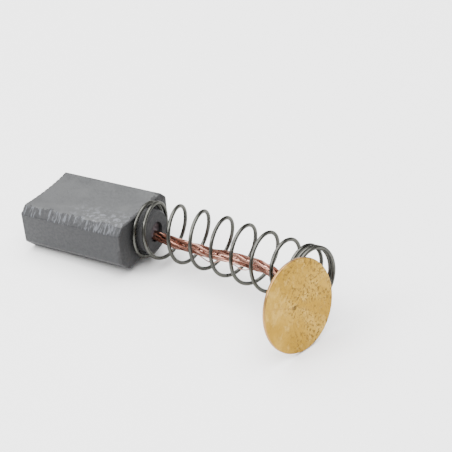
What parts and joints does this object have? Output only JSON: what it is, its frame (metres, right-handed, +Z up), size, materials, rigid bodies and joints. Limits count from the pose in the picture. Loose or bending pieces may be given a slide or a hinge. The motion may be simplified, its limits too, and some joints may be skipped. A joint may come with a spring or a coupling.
{
  "type": "carbon brush",
  "caption": "Spring-loaded carbon brush: a bevelled carbon block, a compression spring round a stranded copper pigtail, and a round brass contact disc.",
  "frame": {"origin": "middle of the footprint, on the surface that the brush lies on", "axes": "+X from the wear face to the contact disc, level with the surface; +Y across the block to its far side; +Z up"},
  "size_m": [0.0422, 0.0176, 0.0111],
  "materials": {
    "pressed_carbon": "matte, fine-grained pressed carbon-graphite",
    "copper_strand": "bare drawn copper, satin",
    "spring_steel": "drawn spring wire, semi-bright",
    "rolled_brass": "rolled brass sheet, satin with fine pits",
    "weld_copper": "flattened copper, browned by the weld"
  },
  "bodies": {
    "brush": {"carbon_block": "pressed_carbon", "tamping_plug": "pressed_carbon", "strand_core": "copper_strand", "strand_1": "copper_strand", "strand_2": "copper_strand", "strand_3": "copper_strand", "strand_4": "copper_strand", "strand_5": "copper_strand", "strand_6": "copper_strand", "compression_spring": "spring_steel"},
    "terminal": {"terminal_disc": "rolled_brass", "welded_tail": "weld_copper"}
  },
  "joints": [
    {"name": "spring_compression", "type": "slide", "parent": "brush", "child": "terminal", "axis": [-1, 0, 0], "range_m": [0, 0.012], "stiffness_N_per_m": 220, "deforming": ["compression_spring", "strand_core", "strand_1", "strand_2", "strand_3", "strand_4", "strand_5", "strand_6"]}
  ]
}
